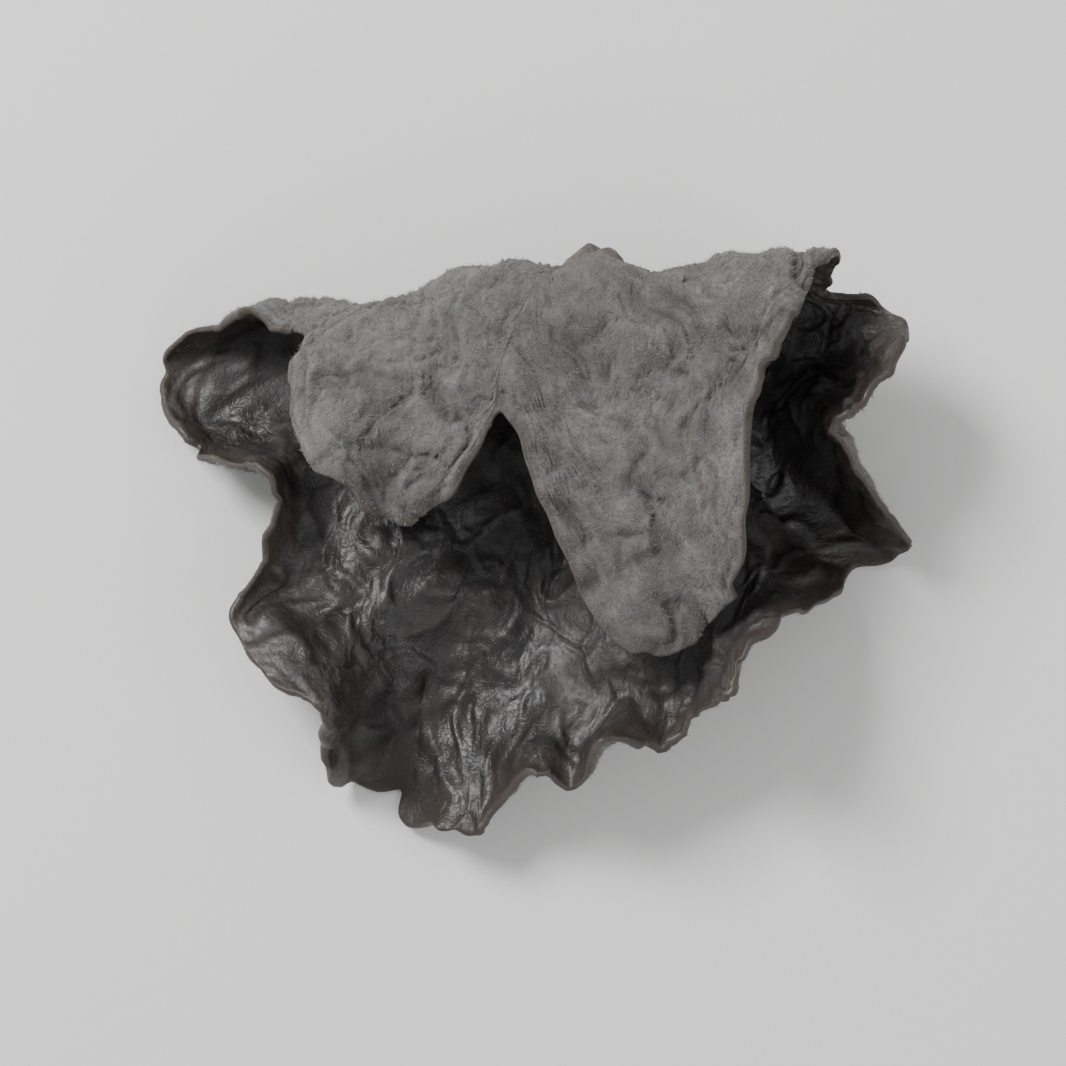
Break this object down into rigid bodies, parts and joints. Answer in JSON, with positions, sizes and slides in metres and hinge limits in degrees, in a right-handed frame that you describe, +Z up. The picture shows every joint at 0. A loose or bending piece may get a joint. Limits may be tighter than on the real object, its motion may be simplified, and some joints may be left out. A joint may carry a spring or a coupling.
{
  "type": "dried wood ear mushroom",
  "caption": "Dried wood ear fungus: a thin, pleated, leathery cap folded over in two lobes, dark inside and grey outside, for food and forest scenes.",
  "frame": {"origin": "centre of the bounding box at its bottom, on the surface the ear rests on", "axes": "+X along the longest extent, from the rolled left end to the pointed right end; +Y towards the folded back with its stub; +Z up"},
  "size_m": [0.031, 0.0244, 0.01],
  "materials": {
    "wood_ear": "matte outside, satin inside"
  },
  "bodies": {
    "root": {"wood_ear": "wood_ear"}
  },
  "joints": []
}
